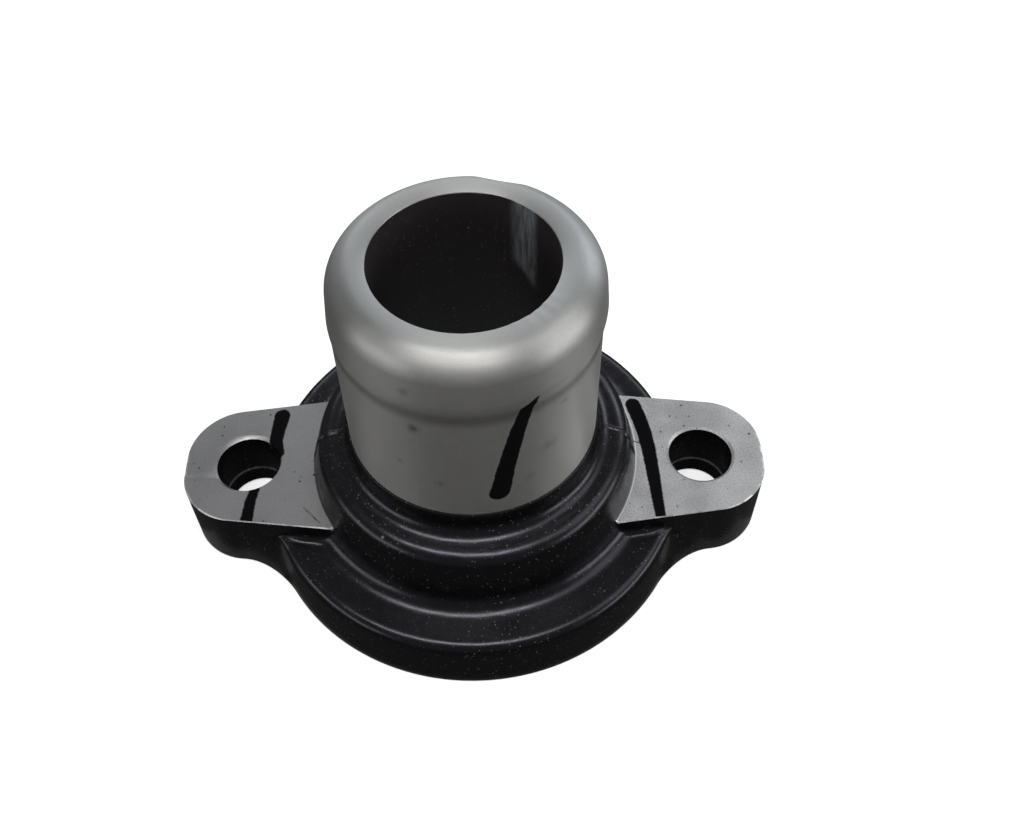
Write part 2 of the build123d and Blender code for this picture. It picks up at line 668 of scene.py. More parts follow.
@dataclass
class BoltHoles:
    """Cutters for the two bolt holes, each with its chamfer at the pad."""

    lugs: LugPlan = field(default_factory=LugPlan)
    pad_height: float = 10.0
    chamfer_radius: float = 4.60
    chamfer_depth: float = 0.27
    foot_round: float = 0.3
    line_heights: tuple[float, float, float] = (2.8, 3.2, 3.4)
    line_depth: float = 0.06
    left_shift: Pair = (-0.17, 0.17)
    columns: int = 120
    overshoot: float = 2.0

    def cutter(self, side: int) -> bpy.types.Object:
        """Builds one cutter: a turned plug whose rings run from below the face to above the pad.

        Args:
            side: Minus one for the left lug and one for the right.

        Returns:
            The cutter, with the coating and one bright line on its shank, and the pad's finish on
            its cone. On the left only the cone is shifted.
        """
        turn = np.arange(self.columns) / self.columns * TURN
        hole = self.lugs.hole_radius
        slope = (self.chamfer_radius - hole) / self.chamfer_depth
        foot, line, head = self.line_heights
        top = self.pad_height + self.overshoot
        rings = (
            (hole + self.foot_round + self.overshoot, -self.overshoot, Finish.EDGE),
            (hole, self.foot_round, Finish.COATING),
            (hole, foot, Finish.EDGE),
            (hole + self.line_depth, line, Finish.COATING),
            (hole, head, Finish.COATING),
            (hole, self.pad_height - self.chamfer_depth, Finish.PAD),
            (self.chamfer_radius, self.pad_height, Finish.PAD),
            (self.chamfer_radius + self.overshoot * slope, top, Finish.PAD),
        )
        shift = self.left_shift if side < 0 else (0.0, 0.0)
        radius, height, _ = (np.array(values)[:, None] for values in zip(*rings))
        on_cone = height >= self.pad_height
        height = height + 0 * turn
        centre = side * self.lugs.hole_pitch / 2
        across = centre + radius * np.cos(turn) + shift[0] * on_cone
        along = -self.lugs.forward + radius * np.sin(turn) + shift[1] * on_cone
        spots = np.stack([across, along, height], axis=-1)
        finishes = np.repeat([ring[2].value for ring in rings[:-1]], self.columns)
        return grid_object("hole_cutter", spots, finishes, capped=True)

    def cut(self, piece: bpy.types.Object) -> None:
        """Cuts both holes through the housing and keeps the finishes of the cutters.

        Args:
            piece: The housing.
        """
        for side in (-1, 1):
            tool = self.cutter(side)
            for material in piece.data.materials:
                tool.data.materials.append(material)
            modifier = piece.modifiers.new("bolt_hole", "BOOLEAN")
            modifier.operation = "DIFFERENCE"
            modifier.solver = "EXACT"
            modifier.object = tool
            bpy.context.view_layer.objects.active = piece
            bpy.ops.object.modifier_apply(modifier=modifier.name)
            bpy.data.objects.remove(tool)


def grid_object(name: str, spots: np.ndarray, finishes: np.ndarray, capped: bool) -> bpy.types.Object:
    """Makes a mesh object from a grid of points in millimetres.

    Each face joins a point to the next one round and the same two on the next row. A closed grid
    also joins its last row to its first, and a capped one has a flat face at each end. The UV map
    counts the shares of the columns and the rows. A negative volume means that the faces look
    inwards, and they are then flipped.

    Args:
        name: Name of the object.
        spots: Points as rows by columns by three.
        finishes: Finish code of each face.
        capped: Whether the ends are capped rather than joined.

    Returns:
        The object, at the origin, with its faces outwards.
    """
    rows, columns = spots.shape[:2]
    row = np.arange(rows - 1 if capped else rows)[:, None]
    column = np.arange(columns)[None, :]
    corners_round = ((0, 0), (0, 1), (1, 1), (1, 0))
    quads = [(row + down) % rows * columns + (column + on) % columns for down, on in corners_round]
    quads = np.stack(quads, axis=-1).reshape(-1, 4)
    faces = quads.tolist()
    codes = np.ravel(finishes).tolist()
    if capped:
        faces += [list(range(columns))[::-1], list(range((rows - 1) * columns, rows * columns))]
        codes += [Finish.COATING.value, Finish.EDGE.value]
    mesh = bpy.data.meshes.new(name)
    mesh.from_pydata((spots.reshape(-1, 3) * MM).tolist(), [], faces)
    mesh.polygons.foreach_set("material_index", np.array(codes, np.int32))
    lay = [
        np.broadcast_arrays((column + on) / columns, (row + down) / rows)
        for down, on in corners_round
    ]
    lay = np.moveaxis(np.array(lay), (0, 1), (2, 3)).reshape(-1, 2)
    spare = np.zeros((len(mesh.loops) - len(lay), 2))
    turning = mesh.uv_layers.new(name=TURN_MAP).data
    turning.foreach_set("uv", np.concatenate([lay, spare]).astype(np.float32).ravel())
    first, second, third, fourth = (spots.reshape(-1, 3)[quads[:, corner]] for corner in range(4))
    if np.sum(first * (np.cross(second, third) + np.cross(third, fourth))) < 0:
        mesh.flip_normals()
    mesh.update()
    piece = bpy.data.objects.new(name, mesh)
    bpy.context.scene.collection.objects.link(piece)
    return piece


@dataclass(frozen=True)
class Band:
    """A smooth and clamped change from start to end while a value goes from low to high."""

    low: float
    high: float
    start: float = 0.0
    end: float = 1.0


@dataclass(frozen=True)
class Noise:
    """A noise texture: its scale per metre, its detail and its roughness."""

    scale: float | Socket
    detail: float = 3.0
    roughness: float = 0.55


class Wiring:
    """Adds nodes to one tree and joins them up."""

    def __init__(self, tree: bpy.types.NodeTree) -> None:
        """Keeps the tree that the nodes go into."""
        self.tree = tree

    def node(self, kind: str, inputs: Inputs | None = None, **settings: object) -> Node:
        """Adds a node, sets it up and joins its inputs.

        Args:
            kind: Blender's name of the node type.
            inputs: Values or sockets, by the name or number of the input.
            **settings: Properties of the node.

        Returns:
            The node.
        """
        made = self.tree.nodes.new(kind)
        for name, value in settings.items():
            setattr(made, name, value)
        for key, value in (inputs or {}).items():
            self.join(value, made.inputs[key])
        return made

    def join(self, value: object, socket: Socket) -> None:
        """Joins an input of a node.

        Args:
            value: A socket to link from, or a constant.
            socket: The input.
        """
        if isinstance(value, Socket):
            self.tree.links.new(value, socket)
        else:
            socket.default_value = value

    def math(self, operation: str, *values: object, clamp: bool = False) -> Socket:
        """Adds a maths node and returns its value."""
        inputs = dict(enumerate(values))
        return self.node("ShaderNodeMath", inputs, operation=operation, use_clamp=clamp).outputs[0]

    def vector(self, operation: str, *values: object) -> Socket:
        """Adds a vector maths node and returns its vector."""
        inputs = dict(enumerate(values))
        return self.node("ShaderNodeVectorMath", inputs, operation=operation).outputs[0]

    def measure(self, operation: str, *values: object) -> Socket:
        """Adds a vector maths node and returns its value."""
        inputs = dict(enumerate(values))
        return self.node("ShaderNodeVectorMath", inputs, operation=operation).outputs["Value"]

    def split(self, place: Socket) -> bpy.types.NodeOutputs:
        """Splits a vector into its three parts."""
        return self.node("ShaderNodeSeparateXYZ", {0: place}).outputs

    def combine(self, *parts: object) -> Socket:
        """Makes a vector of up to three parts."""
        return self.node("ShaderNodeCombineXYZ", dict(enumerate(parts))).outputs[0]

    def axis_distance(self, place: Socket) -> Socket:
        """Works out the distance from the neck axis."""
        return self.measure("LENGTH", self.vector("MULTIPLY", place, (1.0, 1.0, 0.0)))

    def band(self, value: Socket, band: Band) -> Socket:
        """Maps a value along a band."""
        ends = {"From Min": band.low, "From Max": band.high, "To Min": band.start, "To Max": band.end}
        return self.node(
            "ShaderNodeMapRange", {"Value": value, **ends}, interpolation_type="SMOOTHSTEP"
        ).outputs["Result"]

    def blend(self, share: object, first: object, second: object) -> Socket:
        """Mixes two colours."""
        return self.node("ShaderNodeMix", {0: share, 6: first, 7: second}, data_type="RGBA").outputs[2]

    def noise(self, place: Socket, noise: Noise) -> Socket:
        """Adds a noise texture and returns its value."""
        grades = {"Scale": noise.scale, "Detail": noise.detail, "Roughness": noise.roughness}
        return self.node("ShaderNodeTexNoise", {"Vector": place, **grades}).outputs["Fac"]


class Group(Wiring):
    """A shader node group in the making, with what it is given and its result."""

    def __init__(self, name: str, vectors: Names, values: Names, result: str) -> None:
        """Makes the group.

        Args:
            name: Name of the group.
            vectors: Names of the inputs that are vectors.
            values: Names of the inputs that are values.
            result: Name of the output, which is a value.
        """
        super().__init__(bpy.data.node_groups.new(name, "ShaderNodeTree"))
        sockets = [(label, "INPUT", "NodeSocketVector") for label in vectors]
        sockets += [(label, "INPUT", "NodeSocketFloat") for label in values]
        for label, side, kind in (*sockets, (result, "OUTPUT", "NodeSocketFloat")):
            self.tree.interface.new_socket(label, in_out=side, socket_type=kind)
        self.given = self.node("NodeGroupInput").outputs
        self.result = self.node("NodeGroupOutput").inputs[0]


class Effects:
    """The node groups that the finishes share."""

    least_speck: float = 0.25
    speck_fade: float = 0.35

    def __init__(self) -> None:
        """Builds each group once."""
        self.stroke = self.build_stroke()
        self.specks = self.build_specks()
        self.turning = self.build_turning()

    def build_stroke(self) -> bpy.types.NodeTree:
        """Builds the group for one length of a pen stroke.

        Its distance is that from the point to the nearest place on the line from start to end, less
        the half width there.

        Returns:
            The group.
        """
        values = ("Start Width", "End Width")
        w = Group("pen_stroke_length", ("Point", "Start", "End"), values, "Distance")
        run = w.vector("SUBTRACT", w.given["End"], w.given["Start"])
        offset = w.vector("SUBTRACT", w.given["Point"], w.given["Start"])
        dots = [w.measure("DOT_PRODUCT", first, run) for first in (offset, run)]
        share = w.math("DIVIDE", *dots, clamp=True)
        nearest = w.node("ShaderNodeVectorMath", {0: run, "Scale": share}, operation="SCALE").outputs[0]
        change = w.math("SUBTRACT", w.given["End Width"], w.given["Start Width"])
        width = w.math("MULTIPLY_ADD", change, share, w.given["Start Width"])
        away = w.measure("DISTANCE", offset, nearest)
        w.join(w.math("MULTIPLY_ADD", width, -0.5, away), w.result)
        return w.tree

    def build_specks(self) -> bpy.types.NodeTree:
        """Builds the group for scattered specks.

        A cell pattern gives each cell a random number. Cells whose number is below the share have a
        round speck, as large as the size times a second random number and a little.

        Returns:
            The group.
        """
        w = Group("scattered_specks", ("Point",), ("Scale", "Share", "Size"), "Mask")
        cells = w.node("ShaderNodeTexVoronoi", {"Vector": w.given["Point"], "Scale": w.given["Scale"]})
        draw = w.node("ShaderNodeSeparateColor", {0: cells.outputs["Color"]}).outputs
        chosen = w.math("LESS_THAN", draw[0], w.given["Share"])
        size = w.math("MULTIPLY", w.given["Size"], w.math("ADD", draw[1], self.least_speck))
        inside = w.math("SUBTRACT", size, cells.outputs["Distance"])
        fade = w.math("MULTIPLY", w.given["Size"], self.speck_fade)
        soft = w.math("DIVIDE", inside, fade, clamp=True)
        w.join(w.math("MULTIPLY", soft, chosen), w.result)
        return w.tree

    def build_turning(self) -> bpy.types.NodeTree:
        """Builds the group for turning marks.

        The marks are noise read by the distance from the neck axis and the height, so they run in
        rings round the neck, with a slow change round it.

        Returns:
            The group.
        """
        w = Group("turning_marks", ("Point",), ("Scale", "Wander"), "Height")
        across, _, height = w.split(w.given["Point"])
        wander = w.math("MULTIPLY", across, w.given["Wander"])
        rings = w.combine(w.axis_distance(w.given["Point"]), height, wander)
        w.join(w.noise(rings, Noise(w.given["Scale"], 3.0, 0.65)), w.result)
        return w.tree


@dataclass(frozen=True)
class Specks:
    """Scattered specks: cells per metre, share of the cells that have one, and its size in cells."""

    scale: float
    share: float
    size: float


@dataclass(frozen=True)
class Turning:
    """Turning marks: their scale per metre, and how far they wander round the neck."""

    scale: float
    wander: float


@dataclass(frozen=True)
class Stain:
    """A soft stain on the front of the neck: place and half width in millimetres, and strength."""

    across: float
    height: float
    half: float
    strength: float


# A pen stroke: places in millimetres on the plane it is read in, each with a width
Stroke = tuple[Spot, ...]


class Paint(Wiring):
    """A material in the making: its shader, its object coordinates and the shared effects."""

    ink_edge: Noise = Noise(1900.0, 2.0)
    ink_ragged: float = 0.28 * MM
    ink_fade: Band = Band(0.10 * MM, -0.10 * MM)

    def __init__(self, effects: Effects, name: str, **sockets: object) -> None:
        """Starts the material.

        Args:
            effects: The shared effects.
            name: Name of the material.
            **sockets: Constant values of the shader's sockets, with underscores for spaces.
        """
        self.material = bpy.data.materials.new(name)
        self.material.use_nodes = True
        super().__init__(self.material.node_tree)
        self.tree.nodes.clear()
        self.effects = effects
        constants = {key.replace("_", " "): value for key, value in sockets.items()}
        self.shader = self.node("ShaderNodeBsdfPrincipled", constants)
        self.node("ShaderNodeOutputMaterial", {0: self.shader.outputs[0]})
        self.point = self.node("ShaderNodeTexCoord").outputs["Object"]

    def grain(self, noise: Noise) -> Socket:
        """Reads a noise over the part."""
        return self.noise(self.point, noise)

    def effect(self, group: bpy.types.NodeTree, **inputs: object) -> bpy.types.NodeOutputs:
        """Places a shared group, with the object coordinates as its point."""
        return self.node("ShaderNodeGroup", {"Point": self.point, **inputs}, node_tree=group).outputs

    def specks(self, specks: Specks) -> Socket:
        """Masks scattered specks."""
        inputs = {"Scale": specks.scale, "Share": specks.share, "Size": specks.size}
        return self.effect(self.effects.specks, **inputs)[0]

    def turning(self, marks: Turning) -> Socket:
        """Works out the height of turning marks."""
        return self.effect(self.effects.turning, Scale=marks.scale, Wander=marks.wander)[0]

    def tint(self, value: Socket, band: Band, first: object, second: object) -> Socket:
        """Mixes two colours by a value along a band."""
        return self.blend(self.band(value, band), first, second)

    def ink(self, strokes: tuple[Stroke, ...], upright: bool = False) -> Socket:
        """Works out where pen strokes cover the surface.

        Args:
            strokes: The strokes.
            upright: Whether they are on the front of the neck rather than on the pads.

        Returns:
            A mask, 1 in the ink, with an uneven edge.
        """
        across, along, height = self.split(self.point)
        flat = self.combine(across, height if upright else along)
        distances = []
        for first, last in [ends for stroke in strokes for ends in zip(stroke, stroke[1:])]:
            length = {"Point": flat}
            for label, (x, y, width) in (("Start", first), ("End", last)):
                length |= {label: (x * MM, y * MM, 0.0), f"{label} Width": width * MM}
            distances.append(self.effect(self.effects.stroke, **length)[0])
        nearest = reduce(lambda one, other: self.math("MINIMUM", one, other), distances)
        uneven = self.math("SUBTRACT", self.grain(self.ink_edge), 0.5)
        mask = self.band(self.math("MULTIPLY_ADD", uneven, self.ink_ragged, nearest), self.ink_fade)
        return self.math("MULTIPLY", mask, self.math("LESS_THAN", along, 0.0)) if upright else mask

    def coat(
        self, tone: Socket, gloss: Socket, height: Socket, depth: float, metal: float | Socket = 1.0
    ) -> None:
        """Joins what the shader needs.

        Args:
            tone: Base colour.
            gloss: Roughness.
            height: Height of the bumps.
            depth: Their depth in millimetres.
            metal: How metallic it is.
        """
        bump = self.node("ShaderNodeBump", {"Height": height, "Distance": depth * MM, "Strength": 1.0})
        joints = {"Base Color": tone, "Roughness": gloss, "Normal": bump.outputs[0], "Metallic": metal}
        for name, value in joints.items():
            self.join(value, self.shader.inputs[name])


class Recipe(ABC):
    """A finish of the housing."""

    @abstractmethod
    def build(self, effects: Effects) -> bpy.types.Material:
        """Builds the material.

        Args:
            effects: The shared effects.

        Returns:
            The material.
        """


@dataclass(frozen=True)
class TurnedAluminium(Recipe):
    """Satin aluminium with fine turning marks, smudges, stains, one pen stroke and painted shade in the
    crease under the bead.
    """

    colour: Colour = (0.59, 0.59, 0.58, 1.0)
    smudge: Colour = (0.42, 0.415, 0.40, 1.0)
    cloud: Noise = Noise(75.0, 4.0)
    clouded: Band = Band(0.36, 0.72, 0.0, 0.08)
    marks: Turning = Turning(5200.0, 0.02)
    marked: Band = Band(0.40, 0.66, 0.0, 0.08)
    blast: Noise = Noise(4200.0, 2.0)
    blasted: Band = Band(0.35, 0.7, 0.0, 0.2)
    satin: Noise = Noise(1100.0)
    gloss: Band = Band(0.25, 0.75, 0.448, 0.478)
    ink_dullness: float = 0.12
    satin_height: float = 0.3
    bump_depth: float = 0.0012

    ink_colour: Colour = (0.0062, 0.0055, 0.0068, 1.0)
    stroke: Stroke = (
        (7.75, 39.3, 0.4),
        (7.2, 38.4, 1.0),
        (6.5, 37.6, 1.6),
        (5.6, 34.4, 1.9),
        (4.86, 31.0, 2.05),
        (4.14, 27.4, 2.25),
        (3.58, 23.9, 2.5),
        (3.36, 22.9, 2.55),
    )
    # Colour of the stains, also used for the painted shade in the crease under the bead
    stain_and_shade_colour: Colour = (0.13, 0.125, 0.10, 1.0)
    stain_edge: Noise = Noise(1400.0)
    stain_reach: Pair = (1.45, 0.3)
    stains: tuple[Stain, ...] = (
        Stain(-6.0, 35.0, 1.15, 0.85),
        Stain(-6.6, 41.2, 1.0, 0.45),
        Stain(-8.2, 27.5, 0.7, 0.35),
        Stain(10.9, 35.5, 0.8, 0.4),
        Stain(-3.6, 25.2, 0.9, 0.35),
        Stain(9.2, 29.0, 1.6, 0.3),
        Stain(7.0, 24.5, 1.1, 0.25),
    )
    # Painted shade: the crease where the bead meets the tube is darkened in the stain colour
    crease_shade_height: float = 37.35 * MM
    crease_shade_edge: Noise = Noise(300.0)
    crease_shade_ragged: float = 0.156 * MM
    crease_shade: Band = Band(1.69 * MM, 0.0, 0.0, 0.5)

    def build(self, effects: Effects) -> bpy.types.Material:
        """Builds the material, with its highlight drawn out along the turning marks.

        Args:
            effects: The shared effects.

        Returns:
            The material.
        """
        sheen = {"Anisotropic": 0.75, "Anisotropic_Rotation": 0.25}
        p = Paint(effects, "turned_aluminium", Specular_IOR_Level=0.08, **sheen)
        lay = p.node("ShaderNodeTangent", direction_type="UV_MAP", uv_map=TURN_MAP)
        p.join(lay.outputs[0], p.shader.inputs["Tangent"])
        marks, satin = p.turning(self.marks), p.grain(self.satin)
        tone = p.tint(p.grain(self.cloud), self.clouded, self.colour, self.smudge)
        tone = p.tint(marks, self.marked, tone, self.smudge)
        tone = p.tint(p.grain(self.blast), self.blasted, tone, self.smudge)
        tone = self.stains_and_crease_shade(p, tone)
        ink = p.ink((self.stroke,), upright=True)
        gloss = p.math("MULTIPLY_ADD", ink, self.ink_dullness, p.band(satin, self.gloss))
        height = p.math("MULTIPLY_ADD", satin, self.satin_height, marks)
        bare = p.math("SUBTRACT", 1.0, ink)
        p.coat(p.blend(ink, tone, self.ink_colour), gloss, height, self.bump_depth, bare)
        return p.material

    def stains_and_crease_shade(self, p: Paint, tone: Socket) -> Socket:
        """Lays the stains on the front of the neck, and paints shade along the crease under the bead.

        Each fades with the distance from its middle, with an uneven edge.

        Args:
            p: The material.
            tone: The colour so far.

        Returns:
            The colour with the stains and the painted shade in the crease.
        """
        across, along, height = p.split(p.point)
        flat, front = p.combine(across, height), p.math("LESS_THAN", along, 0.0)
        for stain in self.stains:
            half = stain.half * MM
            away = p.measure("DISTANCE", flat, (stain.across * MM, stain.height * MM, 0.0))
            uneven = p.math("MULTIPLY_ADD", p.grain(self.stain_edge), half, away)
            far, near = (share * half for share in self.stain_reach)
            soft = p.band(uneven, Band(far, near, 0.0, stain.strength))
            tone = p.blend(p.math("MULTIPLY", soft, front), tone, self.stain_and_shade_colour)
        # Painted shade: a darker band along the crease where the bead meets the tube
        away = p.math("ABSOLUTE", p.math("SUBTRACT", height, self.crease_shade_height))
        uneven = p.math("MULTIPLY_ADD", p.grain(self.crease_shade_edge), self.crease_shade_ragged, away)
        return p.tint(uneven, self.crease_shade, tone, self.stain_and_shade_colour)


@dataclass(frozen=True)
class MilledPad(Recipe):
    """Grey milled metal of the lug pads, with pits, scratches and ink. The right pad is painted
    lighter, a painted sheen for the light that falls on it.
    """

    colour: Colour = (0.435, 0.43, 0.435, 1.0)
    # Painted sheen: the right pad's lighter colour stands in for the light that falls on it
    bright: Colour = (0.84, 0.835, 0.84, 1.0)
    dull: Colour = (0.27, 0.265, 0.27, 1.0)
    cloud: Noise = Noise(160.0, 4.0)
    clouded: Band = Band(0.35, 0.7, 0.0, 0.42)
    grit: Noise = Noise(4600.0, 2.0, 0.7)
    gritty: Band = Band(0.42, 0.66, 0.0, 0.5)
    gloss: Band = Band(0.3, 0.7, 0.38, 0.52)
    pits: Specks = Specks(1150.0, 0.42, 0.2)
    pit_strength: float = 0.85
    bump_depth: float = 0.012

    burr_colour: Colour = (1.0, 1.0, 1.0, 1.0)
    burr: Band = Band(21.98 * MM, 21.86 * MM)
    ink_colour: Colour = (0.0035, 0.0028, 0.0035, 1.0)
    strokes: tuple[Stroke, ...] = (
        ((-26.75, 6.6, 2.2), (-26.95, 4.8, 2.05), (-27.2, 2.4, 1.85), (-26.7, 0.2, 1.7)),
        ((-29.1, -5.4, 1.3), (-29.5, -7.3, 1.45), (-29.75, -11.0, 1.75)),
        (
            (22.1, 7.3, 2.1),
            (22.65, 5.2, 2.15),
            (23.25, 2.4, 2.05),
            (23.6, -0.6, 1.95),
            (23.85, -5.0, 1.75),
            (24.0, -8.7, 1.55),
            (24.2, -11.9, 1.35),
        ),
    )
    scratches: tuple[Stroke, ...] = (
        ((-22.5, -8.6, 0.1), (-20.1, -11.1, 0.14)),
        ((21.6, 0.95, 0.16), (22.4, 0.6, 0.12)),
    )

    def build(self, effects: Effects) -> bpy.types.Material:
        """Builds the material, with a burr where the right pad meets the collar.

        Args:
            effects: The shared effects.

        Returns:
            The material.
        """
        p = Paint(effects, "milled_pad", Specular_IOR_Level=0.05)
        on_right = p.math("GREATER_THAN", p.split(p.point)[0], 0.0)
        grit = p.grain(self.grit)
        # The right pad is painted lighter, a painted sheen
        tone = p.blend(on_right, self.colour, self.bright)
        tone = p.tint(p.grain(self.cloud), self.clouded, tone, self.dull)
        tone = p.tint(grit, self.gritty, tone, self.dull)
        burr = p.band(p.axis_distance(p.point), self.burr)
        tone = p.blend(p.math("MULTIPLY", burr, on_right), tone, self.burr_colour)
        marks = p.math("MAXIMUM", p.specks(self.pits), p.ink(self.scratches))
        ink = p.ink(self.strokes)
        cover = p.math("MAXIMUM", ink, p.math("MULTIPLY", marks, self.pit_strength))
        tone = p.blend(cover, tone, self.ink_colour)
        height = p.math("SUBTRACT", grit, marks)
        bare = p.math("SUBTRACT", 1.0, ink)
        p.coat(tone, p.band(grit, self.gloss), height, self.bump_depth, bare)
        return p.material


@dataclass(frozen=True)
class MachinedFace(Recipe):
    """Bare machined metal of the mounting face and seat, with circular cutter marks."""

    colour: Colour = (0.52, 0.52, 0.515, 1.0)
    dull: Colour = (0.38, 0.38, 0.375, 1.0)
    cloud: Noise = Noise(120.0, 4.0)
    clouded: Band = Band(0.4, 0.7)
    marks: Turning = Turning(2600.0, 0.01)
    marked: Band = Band(0.45, 0.65, 0.0, 0.45)
    gloss: Band = Band(0.3, 0.7, 0.36, 0.46)
    bump_depth: float = 0.01

    def build(self, effects: Effects) -> bpy.types.Material:
        """Builds the material.

        Args:
            effects: The shared effects.

        Returns:
            The material.
        """
        p = Paint(effects, "machined_face")
        cloud, marks = p.grain(self.cloud), p.turning(self.marks)
        tone = p.tint(cloud, self.clouded, self.colour, self.dull)
        tone = p.tint(marks, self.marked, tone, self.dull)
        p.coat(tone, p.band(cloud, self.gloss), marks, self.bump_depth)
        return p.material


@dataclass(frozen=True)
class BareEdge(Recipe):
    """Bright bare metal where a cutter broke an edge."""

    colour: Colour = (0.97, 0.97, 0.98, 1.0)
    worn: Colour = (0.50, 0.50, 0.51, 1.0)
    patches: Noise = Noise(650.0)
    patched: Band = Band(0.42, 0.6)
    gloss: Band = Band(0.3, 0.7, 0.45, 0.6)
    bump_depth: float = 0.01

    def build(self, effects: Effects) -> bpy.types.Material:
        """Builds the material.

        Args:
            effects: The shared effects.

        Returns:
            The material.
        """
        p = Paint(effects, "bare_edge")
        patches = p.grain(self.patches)
        tone = p.tint(patches, self.patched, self.colour, self.worn)
        p.coat(tone, p.band(patches, self.gloss), patches, self.bump_depth)
        return p.material


@dataclass(frozen=True)
class BlackCoating(Recipe):
    """Semi-gloss black coating over cast metal, with dust, scuffs in the bore and rubbed bands."""

    colour: Colour = (0.0024, 0.0020, 0.0023, 1.0)
    glint: Colour = (0.87, 0.865, 1.0, 1.0)
    bore_colour: Colour = (0.030, 0.026, 0.026, 1.0)
    bore_edge: Band = Band(11.6 * MM, 11.1 * MM)
    fine_grain: Noise = Noise(2600.0, 2.0, 0.5)
    coarse_grain: Noise = Noise(520.0, 4.0, 0.5)
    grain_heights: Pair = (0.6, 0.9)
    gloss: Band = Band(0.3, 0.7, 0.235, 0.295)
    bore_dullness: float = 0.2
    bump_depth: float = 0.007

    dust: Colour = (0.27, 0.245, 0.21, 1.0)
    fine_dust: Specks = Specks(2300.0, 0.8, 0.23)
    large_dust: Specks = Specks(430.0, 0.2, 0.085)
    large_strength: float = 0.65
    drift: Noise = Noise(130.0)
    drifted: Band = Band(0.40, 0.60, 0.15, 0.5)

    rubbed: Colour = (0.085, 0.078, 0.070, 1.0)
    rub_place: Spot = (20.0 * MM, -7.6 * MM, 12.2 * MM)
    rub_half: Spot = (2.4, 3.4, 2.2)
    rub_fade: Band = Band(1.0 * MM, 0.35 * MM, 0.0, 0.8)
    rub_patches: Noise = Noise(420.0)
    rub_patched: Band = Band(0.35, 0.6)

    scuff: Colour = (0.34, 0.36, 0.39, 1.0)
    scuff_heights: Band = Band(32.6 * MM, 37.4 * MM)
    scuff_right: Band = Band(radians(38), radians(44))
    scuff_left: float = radians(41)
    scuff_widens: float = radians(20)
    scuff_left_fade: Band = Band(radians(-2), radians(7))
    scuff_foot: Band = Band(0.0, 0.12)
    scuff_radius: float = 11.3 * MM
    streak_paces: Pair = (24.0 * MM, 0.22)
    streaks: Noise = Noise(900.0, 5.0, 0.7)
    streaked: Band = Band(0.30, 0.68, 0.12, 0.75)

    def build(self, effects: Effects) -> bpy.types.Material:
        """Builds the material.

        Args:
            effects: The shared effects.

        Returns:
            The material.
        """
        p = Paint(effects, "black_coating", Specular_IOR_Level=0.57, Specular_Tint=self.glint)
        coarse = p.grain(self.coarse_grain)
        height = p.math("MULTIPLY", p.grain(self.fine_grain), self.grain_heights[0])
        height = p.math("MULTIPLY_ADD", coarse, self.grain_heights[1], height)
        fine = p.math("MULTIPLY", p.specks(self.fine_dust), p.band(p.grain(self.drift), self.drifted))
        large = p.math("MULTIPLY", p.specks(self.large_dust), self.large_strength)
        in_bore, scuffed = p.band(p.axis_distance(p.point), self.bore_edge), self.bore_scuff(p)
        tone = p.blend(in_bore, self.colour, self.bore_colour)
        tone = p.blend(p.math("MAXIMUM", fine, large), tone, self.dust)
        tone = p.blend(self.bands(p), tone, self.rubbed)
        tone = p.blend(scuffed, tone, self.scuff)
        gloss = p.band(coarse, self.gloss)
        for bare in (scuffed, in_bore):
            gloss = p.math("MULTIPLY_ADD", bare, self.bore_dullness, gloss)
        p.coat(tone, gloss, height, self.bump_depth, metal=0.0)
        return p.material

    def bands(self, p: Paint) -> Socket:
        """Masks the bands on the collar beside the near corners of the lugs, where the skin is rubbed.

        Args:
            p: The material.

        Returns:
            A mask that fades with the distance from a place on each side, counted in half sizes,
            and is broken into patches.
        """
        across, along, height = p.split(p.point)
        mirrored = p.combine(p.math("ABSOLUTE", across), along, height)
        centred = p.vector("SUBTRACT", mirrored, self.rub_place)
        away = p.measure("LENGTH", p.vector("DIVIDE", centred, self.rub_half))
        patches = p.band(p.grain(self.rub_patches), self.rub_patched)
        return p.math("MULTIPLY", p.band(away, self.rub_fade), patches)

    def bore_scuff(self, p: Paint) -> Socket:
        """Masks the scuffed strip in the bore: a wedge that narrows downwards, broken into streaks.

        Args:
            p: The material.

        Returns:
            A mask, from the azimuth, the height and a noise drawn out downwards.
        """
        across, along, height = p.split(p.point)
        azimuth = p.math("ARCTAN2", along, across)
        depth = p.band(height, self.scuff_heights)
        left = p.math("MULTIPLY_ADD", depth, self.scuff_widens, self.scuff_left)
        paces = zip((azimuth, height), self.streak_paces)
        streaks = p.combine(*(p.math("MULTIPLY", part, pace) for part, pace in paces))
        masks = (
            p.band(azimuth, self.scuff_right),
            p.band(p.math("SUBTRACT", left, azimuth), self.scuff_left_fade),
            p.math("LESS_THAN", p.axis_distance(p.point), self.scuff_radius),
            p.band(depth, self.scuff_foot),
            p.band(p.noise(streaks, self.streaks), self.streaked),
        )
        return reduce(lambda one, other: p.math("MULTIPLY", one, other), masks)


